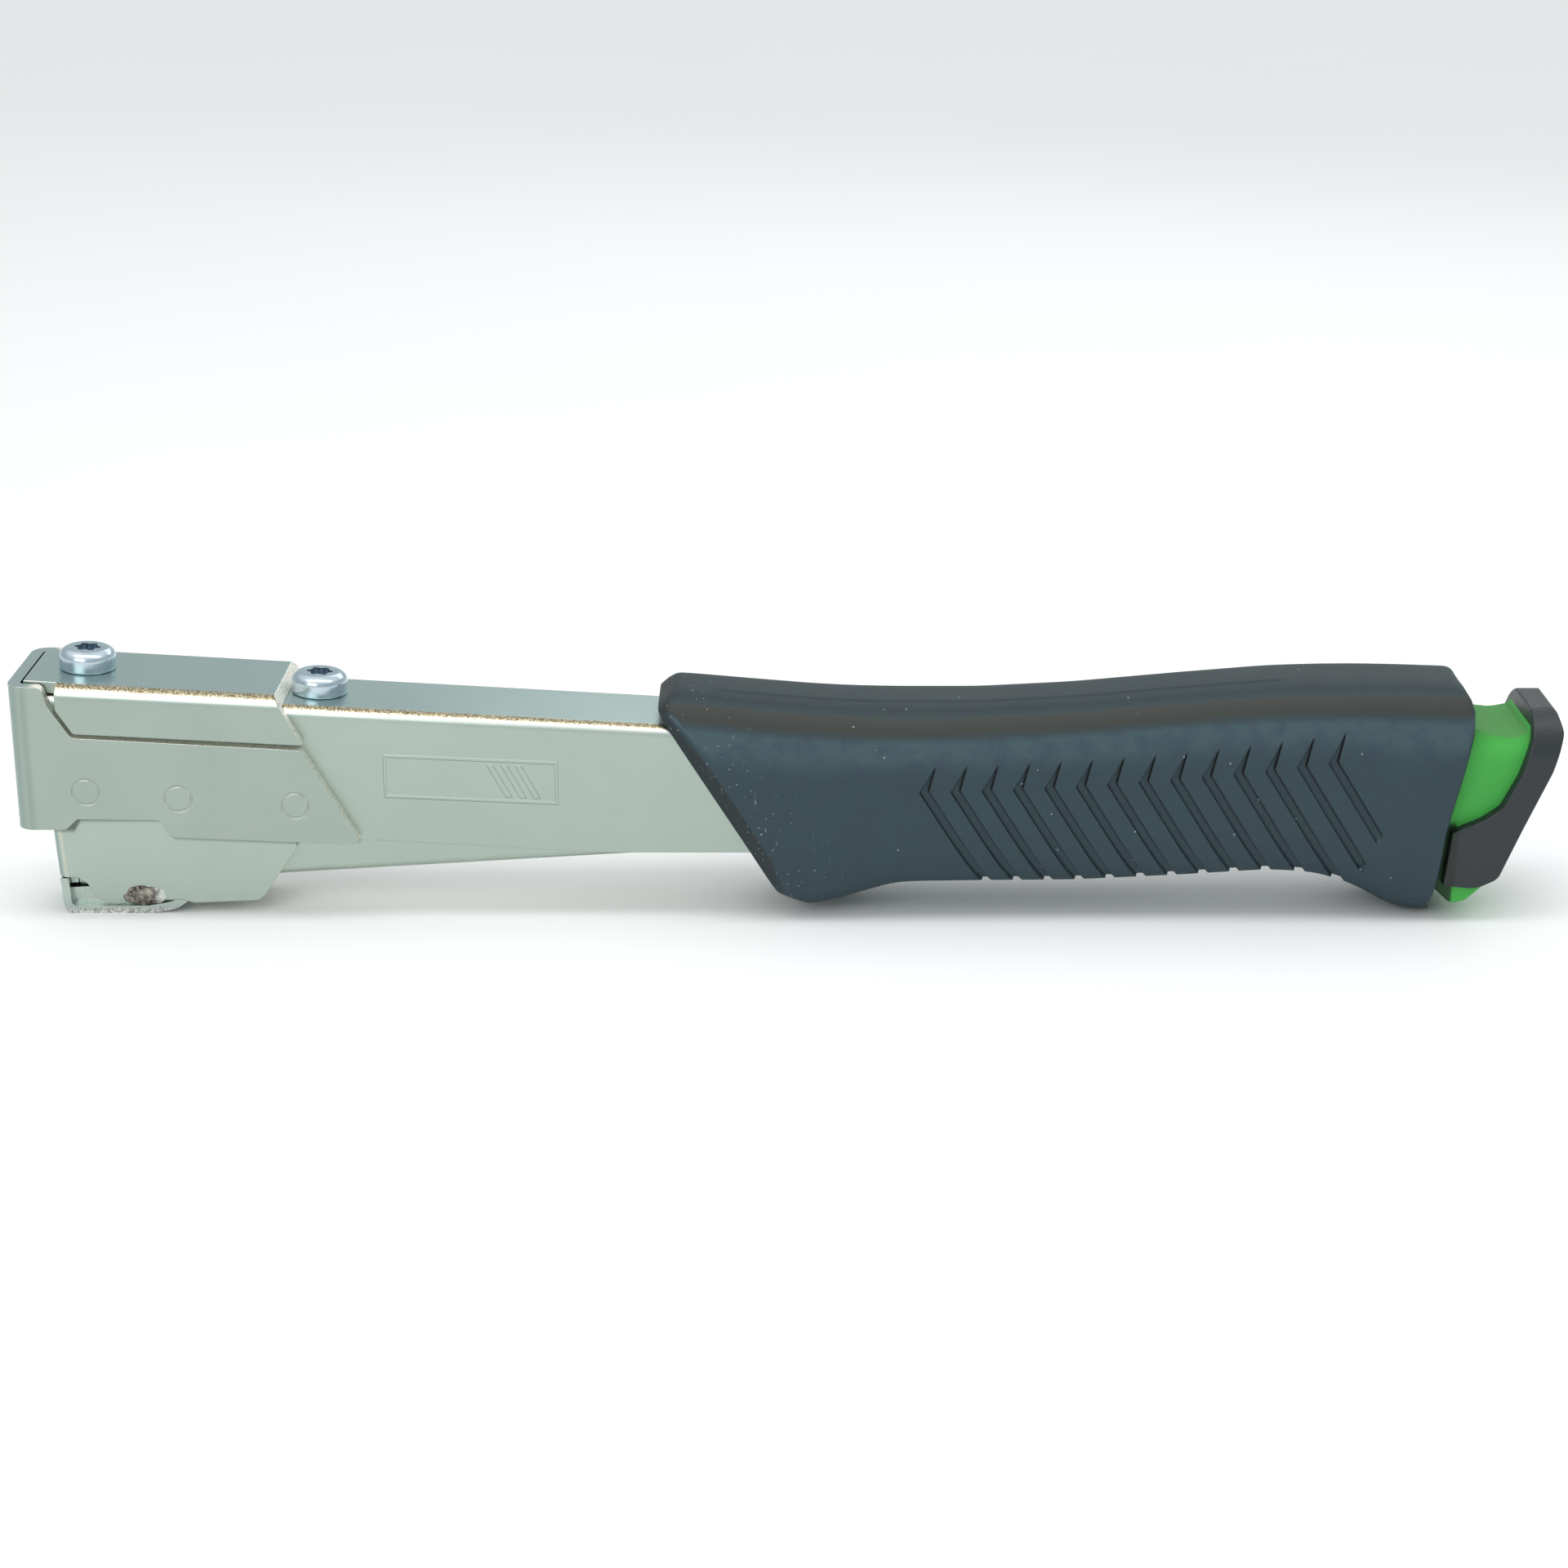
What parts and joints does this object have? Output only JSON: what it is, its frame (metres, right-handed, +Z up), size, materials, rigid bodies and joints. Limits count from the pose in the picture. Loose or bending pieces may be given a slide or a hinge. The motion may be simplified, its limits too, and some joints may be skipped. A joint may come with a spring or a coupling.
{
  "type": "hammer tacker",
  "caption": "Hammer tacker with a folded steel head, swinging staple magazine, welded nosepiece, rubber grip with chevrons and a rear-loading feeder knob.",
  "frame": {"origin": "middle of the tool at ground level, under its mid-plane, with the tool standing on its strike plate and the rear toe of its grip", "axes": "+X towards the rear of the handle, +Y across the tool, +Z up"},
  "size_m": [0.3264, 0.0324, 0.0576],
  "materials": {
    "nickel_steel": "satin nickel-plated sheet steel",
    "zinc_screw": "bright zinc plating, slightly blue",
    "plain_steel": "plain machined steel",
    "hardened_steel": "plated hardened steel, worn bright along its edge",
    "weld_metal": "rough grey-brown weld bead",
    "spring_steel": "oiled spring steel",
    "grip_rubber": "matt slate-grey moulded rubber",
    "green_plastic": "satin green plastic",
    "black_plastic": "fine-grained black plastic"
  },
  "bodies": {
    "hammer_body": {"body_channel": "nickel_steel", "head_bracket": "nickel_steel", "head_cap": "nickel_steel", "front_screw": "zinc_screw", "rear_screw": "zinc_screw", "driver_block": "plain_steel", "driver_blade": "plain_steel", "blade_rivets": "plain_steel", "rear_nut": "zinc_screw", "return_spring": "spring_steel", "stop_pin": "plain_steel", "cheek_spacer": "plain_steel", "pivot_pins": "plain_steel", "grip": "grip_rubber"},
    "magazine": {"magazine_channel": "nickel_steel", "staple_rail": "plain_steel", "magazine_cover": "plain_steel", "nosepiece": "nickel_steel", "strike_plate": "hardened_steel", "nose_welds": "weld_metal", "spring_cup": "plain_steel", "pivot_bushes": "plain_steel"},
    "feeder": {"knob_core": "green_plastic", "knob_shell": "black_plastic", "guide_rod": "plain_steel", "rod_clip": "zinc_screw", "rod_pin": "plain_steel", "latch_clip": "spring_steel", "feed_spring": "spring_steel"},
    "pusher": {"pusher": "plain_steel"}
  },
  "joints": [
    {"name": "magazine_swing", "type": "hinge", "parent": "hammer_body", "child": "magazine", "pos_m": [0.124, 0, 0.027], "axis": [0, 1, 0], "range_deg": [0, 3.25], "stiffness_Nm_per_rad": 30, "springref_deg": -6.88, "deforming": ["return_spring"]},
    {"name": "feeder_slide", "type": "slide", "parent": "magazine", "child": "feeder", "axis": [0.9981, 0, 0.0614], "range_m": [0, 0.28]},
    {"name": "pusher_slide", "type": "slide", "parent": "feeder", "child": "pusher", "axis": [0.9981, 0, 0.0614], "range_m": [0, 0.19], "stiffness_N_per_m": 40, "springref_m": -0.1, "deforming": ["feed_spring"]}
  ]
}
